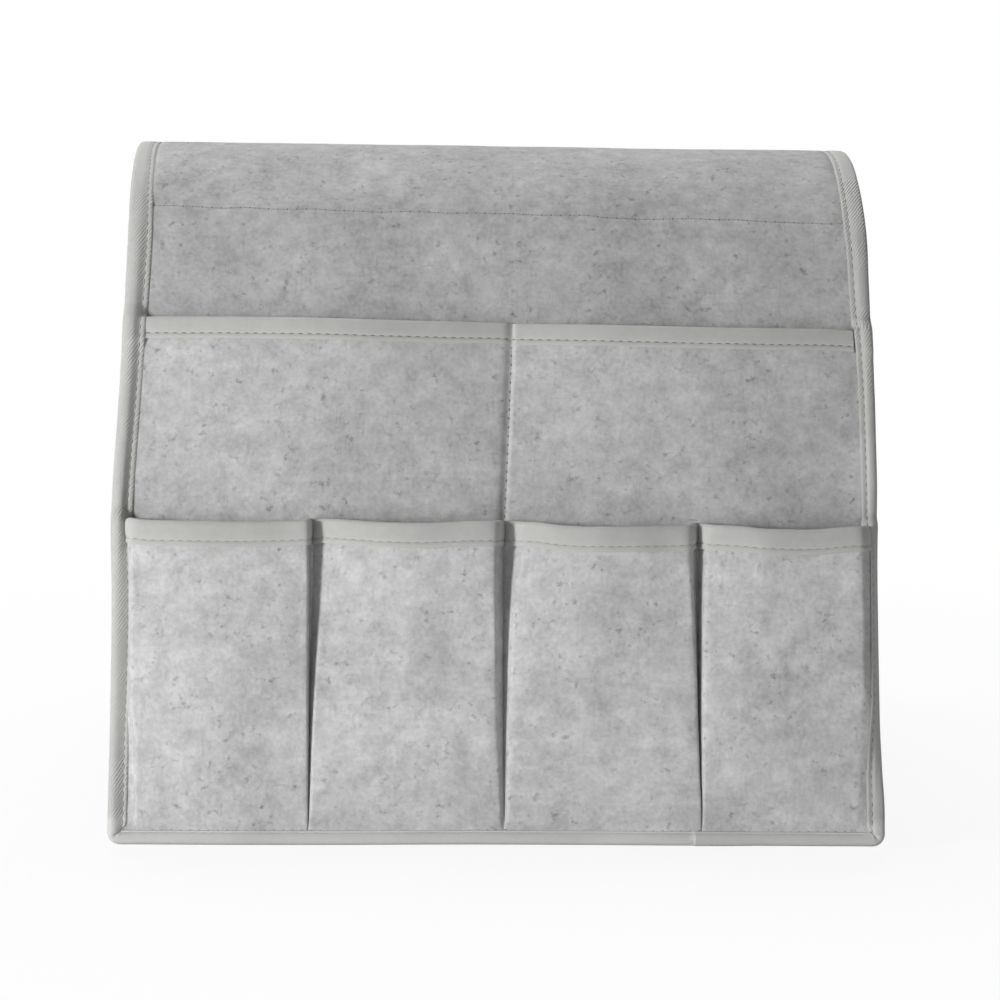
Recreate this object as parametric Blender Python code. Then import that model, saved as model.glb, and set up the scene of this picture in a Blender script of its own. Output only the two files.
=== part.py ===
"""Felt organizer that hangs over a sofa's armrest, with two wide pockets above four pleated ones.

One long felt strip is draped over the armrest. Each piece is laid out on that strip first:
x runs across it, s runs along it from the front hem to the back hem, and d stands off its
outer face. place() then drapes the layout. All sizes are in metres and angles in radians.
"""

import math

import bmesh
import bpy

# The draped strip: a leg, a shoulder and half of the flat top, then the same again behind
WIDTH = 0.330
LEG_LENGTH = 0.257
HEM_LEAN = math.radians(13.3)
SHOULDER_LEAN = math.radians(20.5)
SHOULDER_RADIUS = 0.079
TOP_LENGTH = 0.100

# The sewn crease between the saddle and each flap, and how far a flap folds about it
CREASE_S = 0.280
FOLD_IN = math.radians(38)
FOLD_OUT = math.radians(74)
FOLD_SPARE = math.radians(1)

# Thicknesses, and the gap that pieces sewn face to face keep
FELT = 0.003
POCKET_FELT = 0.002
LINING = 0.0008
TAPE = 0.0005
GAP = 0.0003

# Edge binding, folded round the strip's edge, and the tapes folded over the pocket mouths
EDGE_TAPE_WIDTH = 0.023
CORNER_RADIUS = 0.005
FOLD_RADIUS = 0.0008
MOUTH_FLANGE = 0.0095
TUCK_RAMP = 0.0055

# Upper pockets: one felt sewn down the middle, standing open a little at the mouth
UPPER_MOUTH_S = 0.2265
UPPER_FOOT_X = 0.156
UPPER_BULGE = 0.0085
SEAM_X_LOW = 0.0028
SEAM_X_TOP = 0.0056
SEAM_HALF = 0.0015

# Lower pockets: one pleated felt, sewn down in the valleys between the pockets
LOWER_MOUTH_S = 0.136
LOWER_FOOT_X = 0.1575
VALLEY_X = (-0.0805, 0.0025, 0.0865)
VALLEY_HALF_HEM = 0.0003
VALLEY_HALF_MOUTH = 0.0012
LOWER_RISE = 0.0126
RISE_START_S = 0.009
RISE_POWER = 0.75
ARCH_POWER = 4

# Steps of the curved forms
SHOULDER_STEPS = 10
BEND_STEPS = 4
LEG_STEPS = 8
CORNER_STEPS = 5
HEM_STEPS = 8
UPPER_ARCH_STEPS = 8
LOWER_ARCH_STEPS = 10

SHOULDER_LENGTH = SHOULDER_RADIUS * (math.pi / 2 - SHOULDER_LEAN)
DRAPE = (
    (LEG_LENGTH, HEM_LEAN, SHOULDER_LEAN),
    (SHOULDER_LENGTH, SHOULDER_LEAN, math.pi / 2),
    (TOP_LENGTH, math.pi / 2, math.pi / 2),
    (SHOULDER_LENGTH, math.pi / 2, math.pi - SHOULDER_LEAN),
    (LEG_LENGTH, math.pi - SHOULDER_LEAN, math.pi - HEM_LEAN),
)
STRIP_LENGTH = sum(length for length, start, end in DRAPE)
FELT_EDGE = TAPE + GAP
FELT_CORNER_RADIUS = CORNER_RADIUS - FELT_EDGE
LINING_DEPTH = FELT + GAP + LINING


def walk(s):
    """Point (y, z) and lean of the strip's outer face at s, from the front hem upwards."""
    y = z = 0.0
    lean = HEM_LEAN
    for length, start, end in DRAPE:
        run = min(s, length)
        turn = (end - start) * run / length
        lean = start + turn
        if start == end:
            y += run * math.sin(start)
            z += run * math.cos(start)
        else:
            radius = length / (end - start)
            y += radius * (math.cos(start) - math.cos(lean))
            z += radius * (math.sin(lean) - math.sin(start))
        s -= run
        if s <= 0:
            break
    return y, z, lean


TOP_Y, TOP_Z = walk(STRIP_LENGTH / 2)[:2]
SEAT_Z = TOP_Z - LINING_DEPTH


def place(x, s, d):
    """The draped place of a layout point. The origin is on the lining, where it rests on the arm."""
    y, z, lean = walk(s)
    return x, y - TOP_Y - d * math.cos(lean), z - SEAT_Z + d * math.sin(lean)


def ramp(value, start, end):
    """0 before start, 1 after end, straight in between."""
    return min(max((value - start) / (end - start), 0.0), 1.0)


def crease_clearance(d):
    """How far each side of a crease is cut back at height d, so that the flap can fold both ways."""
    if d < 0:
        slope = math.tan(FOLD_IN / 2 + FOLD_SPARE)
    else:
        slope = math.tan(FOLD_OUT / 2 + FOLD_SPARE)
    return GAP / 2 + abs(d) * slope


def felt_half_width(s):
    """Half width of a felt layer at s, with its hem corners rounded inside the binding's."""
    below = FELT_EDGE + FELT_CORNER_RADIUS - s
    if below <= 0:
        return WIDTH / 2 - FELT_EDGE
    inset = FELT_CORNER_RADIUS - math.sqrt(max(FELT_CORNER_RADIUS ** 2 - below ** 2, 0.0))
    return WIDTH / 2 - FELT_EDGE - inset


def hem_rows():
    """Rows up the rounded hem corner of a felt layer."""
    angles = [math.pi / 2 * step / 3 for step in range(4)]
    return [FELT_EDGE + FELT_CORNER_RADIUS * (1 - math.cos(angle)) for angle in angles]


# Heights of the layers on the front flap


def lift(s, mouth):
    """Room under a pocket felt, which widens near its mouth for the tape's inner flange."""
    return GAP + (TAPE + GAP) * ramp(s, mouth - 3 * MOUTH_FLANGE, mouth - 1.4 * MOUTH_FLANGE)


def upper_top(s):
    """Outer face of the upper pocket felt where it is sewn down."""
    return lift(s, UPPER_MOUTH_S) + POCKET_FELT


def lower_top(s):
    """Outer face of the lower pocket felt where it is sewn down."""
    return upper_top(s) + lift(s, LOWER_MOUTH_S) + POCKET_FELT


def covered(s, mouth, top):
    """Height of a pocket felt and its mouth tape where they are caught under the edge binding."""
    tape_start = mouth - MOUTH_FLANGE
    height = top + (GAP + TAPE) * ramp(s, tape_start - TUCK_RAMP, tape_start - 2 * TAPE)
    return height * (1 - ramp(s, mouth + 3 * TAPE, mouth + 3 * TAPE + TUCK_RAMP))


def front_stack(s):
    """Top of all the layers that the front edge binding goes round at s."""
    upper = covered(s, UPPER_MOUTH_S, upper_top(s))
    lower = covered(s, LOWER_MOUTH_S, lower_top(s))
    return max(upper, lower)


def bare_stack(s):
    """Top of the bare felt that the back edge binding goes round."""
    return 0.0


# Plans of the pocket felts: outer faces as (x, d) points from left to right


def seam_x(s):
    """The middle seam of the upper pockets leans a little to the right as it climbs."""
    return SEAM_X_LOW + (SEAM_X_TOP - SEAM_X_LOW) * ramp(s, LOWER_MOUTH_S, UPPER_MOUTH_S)


def upper_plan(s):
    """Upper pocket felt at s: two shallow bulges between the edges and the middle seam."""
    top = upper_top(s)
    bulge = UPPER_BULGE * ramp(s, LOWER_MOUTH_S + 2 * TUCK_RAMP, UPPER_MOUTH_S)
    pockets = ((-UPPER_FOOT_X, seam_x(s) - SEAM_HALF), (seam_x(s) + SEAM_HALF, UPPER_FOOT_X))
    points = [(-felt_half_width(s), top)]
    for left, right in pockets:
        for step in range(UPPER_ARCH_STEPS + 1):
            part = step / UPPER_ARCH_STEPS
            points.append((left + (right - left) * part, top + bulge * math.sin(math.pi * part)))
    points.append((felt_half_width(s), top))
    return points


def pleat_arch(left, right, base, rise):
    """A pocket's plan: half a superellipse, steep at both sides and nearly flat in front."""
    middle = (left + right) / 2
    half = (right - left) / 2
    points = []
    for step in range(LOWER_ARCH_STEPS + 1):
        angle = math.pi * (1 - step / LOWER_ARCH_STEPS)
        across = math.copysign(abs(math.cos(angle)) ** (2 / ARCH_POWER), math.cos(angle))
        up = abs(math.sin(angle)) ** (2 / ARCH_POWER)
        points.append((middle + half * across, base + rise * up))
    return points


def lower_plan(s):
    """Lower pocket felt at s: four arches with a narrow valley sewn down between each two."""
    grown = ramp(s, RISE_START_S, LOWER_MOUTH_S)
    rise = LOWER_RISE * grown ** RISE_POWER
    half_valley = VALLEY_HALF_HEM + (VALLEY_HALF_MOUTH - VALLEY_HALF_HEM) * grown
    lefts = [-LOWER_FOOT_X] + [x + half_valley for x in VALLEY_X]
    rights = [x - half_valley for x in VALLEY_X] + [LOWER_FOOT_X]
    points = [(-felt_half_width(s), lower_top(s))]
    for left, right in zip(lefts, rights):
        points += pleat_arch(left, right, lower_top(s), rise)
    points.append((felt_half_width(s), lower_top(s)))
    return points


def offset_plan(points, distance):
    """The plan moved outwards by distance, square to its faces, with mitred corners."""
    moved = []
    last = len(points) - 1
    for index, (x, d) in enumerate(points):
        normals = []
        for start in (max(index - 1, 0), min(index, last - 1)):
            run = points[start + 1][0] - points[start][0]
            climb = points[start + 1][1] - points[start][1]
            length = math.hypot(run, climb)
            normals.append((-climb / length, run / length))
        sum_x = normals[0][0] + normals[1][0]
        sum_d = normals[0][1] + normals[1][1]
        scale = 2 * distance / (sum_x ** 2 + sum_d ** 2)
        moved.append((x + sum_x * scale, d + sum_d * scale))
    return moved


# Solids


def make_material(name, colour, roughness):
    material = bpy.data.materials.new(name)
    material.use_nodes = True
    shader = material.node_tree.nodes["Principled BSDF"]
    shader.inputs["Base Color"].default_value = (*colour, 1.0)
    shader.inputs["Roughness"].default_value = roughness
    shader.inputs["Metallic"].default_value = 0.0
    return material


def felt_material(name):
    return make_material(name, (0.50, 0.50, 0.505), 0.95)


def tape_material(name):
    return make_material(name, (0.58, 0.60, 0.57), 0.85)


def lining_material(name):
    return make_material(name, (0.16, 0.16, 0.17), 0.8)


def add_object(name, points, faces, material, hinge=None):
    """A mesh object from layout points. With a hinge, its origin is on that hinge's axis."""
    origin = hinge.location if hinge else (0.0, 0.0, 0.0)
    corners = [place(*point) for point in points]
    corners = [tuple(value - shift for value, shift in zip(corner, origin)) for corner in corners]
    mesh = bpy.data.meshes.new(name)
    mesh.from_pydata(corners, [], faces)
    work = bmesh.new()
    work.from_mesh(mesh)
    bmesh.ops.recalc_face_normals(work, faces=work.faces)
    work.to_mesh(mesh)
    work.free()
    mesh.materials.append(material)
    mesh.shade_smooth()
    mesh.set_sharp_from_angle(angle=math.radians(40))
    piece = bpy.data.objects.new(name, mesh)
    bpy.context.scene.collection.objects.link(piece)
    if hinge:
        piece.parent = hinge
    return piece


def add_sheet(name, outer_rows, inner_rows, material, hinge=None):
    """A closed sheet between two grids of layout points that match row for row."""
    rows = len(outer_rows)
    columns = len(outer_rows[0])
    points = [point for row in outer_rows for point in row]
    points += [point for row in inner_rows for point in row]
    inner = rows * columns
    faces = []
    for row in range(rows - 1):
        for column in range(columns - 1):
            corner = row * columns + column
            quad = (corner, corner + 1, corner + columns + 1, corner + columns)
            faces.append(quad)
            faces.append(tuple(inner + index for index in reversed(quad)))
    rim = [column for column in range(columns)]
    rim += [row * columns + columns - 1 for row in range(1, rows)]
    rim += [(rows - 1) * columns + column for column in range(columns - 2, -1, -1)]
    rim += [row * columns for row in range(rows - 2, 0, -1)]
    for here, after in zip(rim, rim[1:] + rim[:1]):
        faces.append((here, inner + here, inner + after, after))
    return add_object(name, points, faces, material, hinge)


def channel_section(bottom, top, flange):
    """Section of a tape folded round an edge, as (depth in from the fold, height) points.

    bottom and top are the faces that it goes round. The fold's two corners are bevelled.
    """
    outer_top = top + GAP + TAPE
    outer_bottom = bottom - GAP - TAPE
    return [
        (flange, outer_top),
        (TAPE, outer_top),
        (0.0, outer_top - TAPE),
        (0.0, outer_bottom + TAPE),
        (TAPE, outer_bottom),
        (flange, outer_bottom),
        (flange, bottom - GAP),
        (TAPE, bottom - GAP),
        (TAPE, top + GAP),
        (flange, top + GAP),
    ]


CHANNEL_CAP = ((0, 1, 8, 9), (1, 2, 3, 4, 7, 8), (4, 5, 6, 7))


def add_channel(name, rings, material, hinge=None):
    """A folded tape: channel sections joined in a row, closed at both ends."""
    count = len(rings[0])
    points = [point for ring in rings for point in ring]
    faces = []
    for ring in range(len(rings) - 1):
        for index in range(count):
            here = ring * count + index
            after = ring * count + (index + 1) % count
            faces.append((here, after, after + count, here + count))
    end = (len(rings) - 1) * count
    for cap in CHANNEL_CAP:
        faces.append(cap)
        faces.append(tuple(end + index for index in reversed(cap)))
    return add_object(name, points, faces, material, hinge)


# The saddle, which rests on the arm and carries both flaps


def saddle_stations():
    """Places along the saddle, close together round the shoulders."""
    shoulder_end = LEG_LENGTH + SHOULDER_LENGTH
    near = [
        CREASE_S + (shoulder_end - CREASE_S) * step / SHOULDER_STEPS
        for step in range(SHOULDER_STEPS + 1)
    ]
    return near + [STRIP_LENGTH - s for s in reversed(near)]


def on_saddle(s, d):
    """s kept clear of both creases at height d."""
    clear = CREASE_S + crease_clearance(d)
    return min(max(s, clear), STRIP_LENGTH - clear)


def flange_depth(bottom, top):
    """What the edge tape's width leaves for each flange once it has gone round the stack."""
    thickness = top - bottom + 2 * (GAP + TAPE)
    return (EDGE_TAPE_WIDTH - thickness) / 2


def add_saddle_layer(name, half, top, thickness, material):
    grids = []
    for d in (top, top - thickness):
        grids.append([[(x, on_saddle(s, d), d) for x in (-half, half)] for s in saddle_stations()])
    return add_sheet(name, grids[0], grids[1], material)


def add_saddle_binding(name, side):
    section = channel_section(-FELT, 0.0, flange_depth(-FELT, 0.0))
    rings = []
    for s in saddle_stations():
        ring = [(side * (WIDTH / 2 - depth), on_saddle(s, d), d) for depth, d in section]
        rings.append(ring)
    return add_channel(name, rings, tape_material(name))


# The flaps. A back piece is laid out as a front one and turned round by along().


def along(s, front):
    return s if front else STRIP_LENGTH - s


def on_flap(s, d):
    """s kept clear of the crease at height d."""
    return min(s, CREASE_S - crease_clearance(d))


def bend_stations():
    """Places round the part of the shoulder that belongs to a flap, up to the crease."""
    return [LEG_LENGTH + (CREASE_S - LEG_LENGTH) * step / BEND_STEPS for step in range(BEND_STEPS + 1)]


def add_panel(name, front, hinge):
    stations = hem_rows()
    stations += [LEG_LENGTH * step / LEG_STEPS for step in range(1, LEG_STEPS)]
    stations += bend_stations()
    grids = []
    for d in (0.0, -FELT):
        rows = []
        for s in stations:
            half = felt_half_width(s)
            rows.append([(x, along(on_flap(s, d), front), d) for x in (-half, half)])
        grids.append(rows)
    return add_sheet(name, grids[0], grids[1], felt_material(name), hinge)


def leg_stations():
    """Places down a flap's side where the edge binding changes height or the strip bends."""
    marks = bend_stations() + [0.245, 0.185, 0.160, 0.075, 0.050, 0.025]
    for mouth in (UPPER_MOUTH_S, LOWER_MOUTH_S):
        marks.append(mouth + 3 * TAPE + TUCK_RAMP)
        marks.append(mouth + 3 * TAPE)
        marks.append(mouth - MOUTH_FLANGE - 2 * TAPE)
        marks.append(mouth - MOUTH_FLANGE - TUCK_RAMP)
        marks.append(mouth - 3 * MOUTH_FLANGE)
    return sorted(marks, reverse=True)


def corner_point(side, angle, depth):
    """Point at a depth in from the rounded hem corner, where the inner edge folds to a mitre."""
    radius = max(CORNER_RADIUS - depth, FOLD_RADIUS)
    x = side * (WIDTH / 2 - depth - radius + radius * math.cos(angle))
    return x, depth + radius * (1 - math.sin(angle))


def edge_ring(locate, s, stack, front):
    """One section of the edge binding. locate turns a depth in from the edge into (x, s)."""
    bottom = -FELT
    top = stack(s)
    ring = []
    for depth, d in channel_section(bottom, top, flange_depth(bottom, top)):
        x, run = locate(depth)
        ring.append((x, along(on_flap(run, d), front), d))
    return ring


def add_edge_binding(name, front, stack, hinge):
    """The tape down one side of a flap, round its hem and up the other side."""
    angles = [math.pi / 2 * step / CORNER_STEPS for step in range(CORNER_STEPS + 1)]
    hem_half = WIDTH / 2 - 2 * CORNER_RADIUS
    hem = [-hem_half + 2 * hem_half * step / HEM_STEPS for step in range(HEM_STEPS + 1)]
    rings = []
    for s in leg_stations():
        rings.append(edge_ring(lambda depth: (depth - WIDTH / 2, s), s, stack, front))
    for angle in angles:
        rings.append(edge_ring(lambda depth: corner_point(-1, angle, depth), 0.0, stack, front))
    for x in hem:
        rings.append(edge_ring(lambda depth: (x, depth), 0.0, stack, front))
    for angle in reversed(angles):
        rings.append(edge_ring(lambda depth: corner_point(1, angle, depth), 0.0, stack, front))
    for s in reversed(leg_stations()):
        rings.append(edge_ring(lambda depth: (WIDTH / 2 - depth, s), s, stack, front))
    return add_channel(name, rings, tape_material(name), hinge)


# The pockets


def add_pocket_felt(name, plan, stations, hinge):
    outer = []
    inner = []
    for s in stations:
        outline = plan(s)
        outer.append([(x, s, d) for x, d in outline])
        inner.append([(x, s, d) for x, d in offset_plan(outline, -POCKET_FELT)])
    return add_sheet(name, outer, inner, felt_material(name), hinge)


def add_mouth_tape(name, plan, mouth, hinge):
    """The tape folded over a pocket felt's top edge, which follows every bulge and valley."""
    strands = []
    for depth, height in channel_section(-POCKET_FELT, 0.0, MOUTH_FLANGE):
        s = mouth + GAP + TAPE - depth
        strands.append([(x, s, d) for x, d in offset_plan(plan(s), height)])
    rings = [list(ring) for ring in zip(*strands)]
    return add_channel(name, rings, tape_material(name), hinge)


def upper_stations():
    marks = hem_rows() + [0.050, 0.095, LOWER_MOUTH_S, LOWER_MOUTH_S + 2 * TUCK_RAMP]
    marks += [0.172, UPPER_MOUTH_S - 3 * MOUTH_FLANGE, UPPER_MOUTH_S - 1.4 * MOUTH_FLANGE]
    return marks + [UPPER_MOUTH_S]


def lower_stations():
    marks = hem_rows() + [RISE_START_S, 0.014, 0.024, 0.040, 0.060, 0.084]
    marks += [LOWER_MOUTH_S - 3 * MOUTH_FLANGE, LOWER_MOUTH_S - 1.4 * MOUTH_FLANGE]
    return marks + [LOWER_MOUTH_S]


def add_hinge(name, front):
    """An empty on a crease, on the felt's outer face, which a flap turns about."""
    hinge = bpy.data.objects.new(name, None)
    hinge.location = place(0.0, along(CREASE_S, front), 0.0)
    hinge.empty_display_size = 0.02
    bpy.context.scene.collection.objects.link(hinge)
    return hinge


def build():
    for old in list(bpy.data.objects):
        bpy.data.objects.remove(old)

    felt_half = WIDTH / 2 - FELT_EDGE
    lining_half = WIDTH / 2 - flange_depth(-FELT, 0.0) - GAP
    lining_top = -FELT - GAP
    add_saddle_layer("saddle_felt", felt_half, 0.0, FELT, felt_material("saddle_felt"))
    lining = lining_material("saddle_grip_lining")
    add_saddle_layer("saddle_grip_lining", lining_half, lining_top, LINING, lining)
    add_saddle_binding("saddle_binding_left", -1)
    add_saddle_binding("saddle_binding_right", 1)

    front_fold = add_hinge("front_fold_axis", True)
    add_panel("front_panel_felt", True, front_fold)
    add_edge_binding("front_edge_binding", True, front_stack, front_fold)
    add_pocket_felt("upper_pocket_felt", upper_plan, upper_stations(), front_fold)
    add_mouth_tape("upper_pocket_tape", upper_plan, UPPER_MOUTH_S, front_fold)
    add_pocket_felt("lower_pocket_felt", lower_plan, lower_stations(), front_fold)
    add_mouth_tape("lower_pocket_tape", lower_plan, LOWER_MOUTH_S, front_fold)

    back_fold = add_hinge("back_fold_axis", False)
    add_panel("back_panel_felt", False, back_fold)
    add_edge_binding("back_edge_binding", False, bare_stack, back_fold)


build()
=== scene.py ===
"""Looks of a felt armrest organizer: a draped strip with two wide and four pleated pockets.

Pieces are laid out on the strip as in the part's source: x runs across it, s runs along it from
the front hem to the back hem, and d stands off its outer face. Metres and radians throughout.
"""

import math

import bmesh
import bpy
import numpy as np
from mathutils import Matrix, Vector


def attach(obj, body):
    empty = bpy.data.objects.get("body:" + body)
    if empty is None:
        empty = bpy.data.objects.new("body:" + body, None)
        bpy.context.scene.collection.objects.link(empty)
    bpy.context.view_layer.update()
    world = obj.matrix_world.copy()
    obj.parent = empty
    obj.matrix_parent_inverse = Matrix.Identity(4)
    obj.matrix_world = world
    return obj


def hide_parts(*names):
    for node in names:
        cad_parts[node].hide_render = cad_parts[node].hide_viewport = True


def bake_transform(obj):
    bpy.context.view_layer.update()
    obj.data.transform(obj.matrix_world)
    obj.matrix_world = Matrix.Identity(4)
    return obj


MM = 0.001

# The draped strip, as in the part's source
WIDTH = 0.330
LEG_LENGTH = 0.257
HEM_LEAN = math.radians(13.3)
SHOULDER_LEAN = math.radians(20.5)
SHOULDER_RADIUS = 0.079
TOP_LENGTH = 0.100
CREASE_S = 0.280
FELT = 0.003
POCKET_FELT = 0.002
LINING = 0.0008
TAPE = 0.0005
GAP = 0.0003
SHOULDER_LENGTH = SHOULDER_RADIUS * (math.pi / 2 - SHOULDER_LEAN)
DRAPE = (
    (LEG_LENGTH, HEM_LEAN, SHOULDER_LEAN),
    (SHOULDER_LENGTH, SHOULDER_LEAN, math.pi / 2),
    (TOP_LENGTH, math.pi / 2, math.pi / 2),
    (SHOULDER_LENGTH, math.pi / 2, math.pi - SHOULDER_LEAN),
    (LEG_LENGTH, math.pi - SHOULDER_LEAN, math.pi - HEM_LEAN),
)
STRIP_LENGTH = sum(length for length, start, end in DRAPE)
HALF = WIDTH / 2
TOP_S = STRIP_LENGTH / 2
FELT_EDGE = TAPE + GAP
CORNER_RADIUS = 0.005
LINING_DEPTH = FELT + GAP + LINING

# The stretch on each side of a crease over which the cloth would bend when a flap swings; the
# script doesn't bend it
BEND_REACH = 0.012

# Mouths of the pockets, and the seams between them
UPPER_MOUTH_S = 0.2264
LOWER_MOUTH_S = 0.1348
VALLEY_X = (-0.0805, 0.0025, 0.0865)
UPPER_TAPE = 0.0095
LOWER_TAPE = 0.0104
STITCH_PITCH = 0.0039

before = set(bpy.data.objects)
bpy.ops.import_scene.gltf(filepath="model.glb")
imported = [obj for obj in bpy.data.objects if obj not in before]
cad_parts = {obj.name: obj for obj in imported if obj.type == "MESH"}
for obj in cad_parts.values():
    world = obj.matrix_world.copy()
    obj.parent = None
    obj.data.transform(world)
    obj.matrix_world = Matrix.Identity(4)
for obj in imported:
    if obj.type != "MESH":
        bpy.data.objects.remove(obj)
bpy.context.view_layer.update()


# Layout


def spline(*knots):
    """A smooth function through (place, value) knots, with no overshoot and level ends."""
    at, value = np.array(knots, float).T
    climb = np.diff(value) / np.diff(at)
    before, after = climb[:-1], climb[1:]
    total = before + after + (before + after == 0)
    slope = np.zeros_like(value)
    slope[1:-1] = np.where(before * after > 0, 2 * before * after / total, 0.0)

    def curve(place):
        place = np.clip(place, at[0], at[-1])
        index = np.clip(np.searchsorted(at, place) - 1, 0, len(at) - 2)
        step = at[index + 1] - at[index]
        part = (place - at[index]) / step
        rest = 1 - part
        return (
            value[index] * (1 + 2 * part) * rest ** 2
            + slope[index] * step * part * rest ** 2
            + value[index + 1] * (3 - 2 * part) * part ** 2
            - slope[index + 1] * step * rest * part ** 2
        )

    return curve


def splines(at, *rows):
    """A smooth function for each row of values at the same places."""
    return tuple(spline(*zip(at, row)) for row in rows)


def unit(vectors):
    """Directions of unit length, of a row of vectors that may hold a zero."""
    return vectors / (np.linalg.norm(vectors, axis=-1, keepdims=True) + 1e-12)


def run_of(points):
    """Length along a line of points, at each of them."""
    steps = np.linalg.norm(np.diff(points, axis=0), axis=1)
    return np.concatenate([[0.0], np.cumsum(steps)])


def ease(value, start, end):
    """0 before start, 1 after end, and a smooth step in between."""
    part = np.clip((value - start) / (end - start), 0.0, 1.0)
    return part * part * (3 - 2 * part)


def waves(seed, size, count=20):
    """A smooth random field of unit spread whose bumps are about this size."""
    random = np.random.default_rng(seed)
    angle = random.uniform(0, 2 * math.pi, count)
    turns = 2 * math.pi / (size * random.uniform(1.2, 3.0, count))
    phase = random.uniform(0, 2 * math.pi, count)

    def field(x, s):
        total = 0.0
        for k in range(count):
            along = x * math.cos(angle[k]) + s * math.sin(angle[k])
            total = total + np.cos(turns[k] * along + phase[k])
        return total * math.sqrt(2 / count)

    return field


def walk(s):
    """Points (y, z) and leans of the strip's outer face at s, from the front hem upwards."""
    rest = np.array(s, float)
    y = np.zeros_like(rest)
    z = np.zeros_like(rest)
    lean = np.full_like(rest, HEM_LEAN)
    for number, (length, start, end) in enumerate(DRAPE):
        lowest = -np.inf if number == 0 else 0.0
        run = np.clip(rest, lowest, length)
        turn = (end - start) * run / length
        if start == end:
            y = y + run * math.sin(start)
            z = z + run * math.cos(start)
        else:
            radius = length / (end - start)
            y = y + radius * (math.cos(start) - np.cos(start + turn))
            z = z + radius * (np.sin(start + turn) - math.sin(start))
        lean = lean + turn
        rest = rest - run
    return y, z, lean


TOP_Y, TOP_Z = (float(value) for value in walk(TOP_S)[:2])
SEAT_Z = TOP_Z - LINING_DEPTH

# The soft edges wander a little from the straight cut, and the felt isn't quite flat
LEFT_SWAY = spline(
    (0.0, 0.9), (0.030, 0.8), (0.065, 0.7), (0.080, 0.6), (0.105, 0.0), (0.117, -0.5),
    (0.130, -1.1), (0.143, -1.4), (0.156, -1.1), (0.172, -0.5), (0.200, 0.3), (0.224, 0.85),
    (0.240, 1.05), (0.267, 1.2), (0.300, 0.5), (0.340, 0.0),
)
RIGHT_SWAY = spline(
    (0.0, 0.5), (0.015, 0.5), (0.035, -0.6), (0.060, -1.4), (0.120, -1.5), (0.140, -0.6),
    (0.160, 0.0), (0.200, 0.0), (0.230, -0.4), (0.255, -0.8), (0.280, -0.8), (0.310, -1.1),
    (0.340, -1.1),
)
LEG_RIPPLE = waves(3, 0.045)
FINE_RIPPLE = waves(8, 0.016)


def sway(x, s):
    """How far the cloth at (x, s) stands to the right of its place in the straight cut."""
    across = np.clip(x / HALF, -1.2, 1.2)
    left = LEFT_SWAY(s) * ((1 - across) / 2) ** 2
    right = RIGHT_SWAY(s) * ((1 + across) / 2) ** 2
    return MM * (left + right)


def ripple(x, s):
    """Unevenness of the felt, which fades on the armrest's top, where it lies lower at the left."""
    near = np.minimum(s, STRIP_LENGTH - s)
    uneven = 1 - 0.75 * ease(near, 0.300, 0.350)
    slant = (-0.35 + 0.80 * x / HALF) * ease(near, 0.280, 0.330)
    return MM * (uneven * (0.45 * LEG_RIPPLE(x, s) + 0.10 * FINE_RIPPLE(x, s)) + slant)


HEM_LIFT = spline((-165, 0.0), (-95, 0.1), (0, 0.8), (165, 0.9))


def hem_lift(x, s):
    """The hem hangs a little higher on the right."""
    return MM * HEM_LIFT(x / MM) * (1 - ease(s, 0.0, 0.060))


def drape(x, s, d):
    """Draped places of layout points. The origin is on the lining, where it rests on the arm."""
    x, s, d = np.broadcast_arrays(*(np.asarray(value, float) for value in (x, s, d)))
    s = s + hem_lift(x, s)
    y, z, lean = walk(s)
    d = d + ripple(x, s)
    y = y - TOP_Y - d * np.cos(lean)
    return np.stack([x + sway(x, s), y, z - SEAT_Z + d * np.sin(lean)], -1)


CREASE_WANDER = waves(21, 0.012)


def crease_line(x, s):
    """s moved so that a row at CREASE_S follows the sewn crease, which runs a little askew."""
    wander = -1.6 * MM * x / 0.15 + 0.25 * MM * CREASE_WANDER(x, 0.0 * x)
    near = np.exp(-(((s - CREASE_S) / 0.016) ** 2))
    return s + wander * near


# Meshes


def make_mesh(name, points, faces, uv, materials, sharp=50):
    """A mesh piece. uv holds each point's place on the flat cloth, in metres, for its weave."""
    mesh = bpy.data.meshes.new(name)
    mesh.from_pydata([tuple(point) for point in points], [], [tuple(face) for face in faces])
    work = bmesh.new()
    work.from_mesh(mesh)
    bmesh.ops.recalc_face_normals(work, faces=work.faces)
    work.to_mesh(mesh)
    work.free()
    layer = mesh.uv_layers.new(name="cloth")
    corner = np.empty(len(mesh.loops), np.int64)
    mesh.loops.foreach_get("vertex_index", corner)
    layer.data.foreach_set("uv", np.asarray(uv, np.float32)[corner].ravel())
    mesh.shade_smooth()
    mesh.set_sharp_from_angle(angle=math.radians(sharp))
    piece = bpy.data.objects.new(name, mesh)
    bpy.context.scene.collection.objects.link(piece)
    for material in materials:
        mesh.materials.append(material)
    return piece


def grid_faces(rows, columns, start=0, flip=False):
    """Quads between the points of a grid whose first point is number start."""
    row, column = np.meshgrid(np.arange(rows - 1), np.arange(columns - 1), indexing="ij")
    corner = (start + row * columns + column).ravel()
    quads = np.stack([corner, corner + 1, corner + columns + 1, corner + columns], 1)
    return quads[:, ::-1] if flip else quads


def rim_indices(rows, columns):
    """Numbers of the points round the edge of a grid, in order."""
    grid = np.arange(rows * columns).reshape(rows, columns)
    return np.concatenate([grid[0], grid[1:, -1], grid[-1, -2::-1], grid[-2:0:-1, 0]])


# Each felt shows another part of its cloth, and so does the back of a sheet
UPPER_UV = (0.7, 0.9)
LOWER_UV = (-0.9, 0.4)
BACK_UV = 0.37


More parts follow.
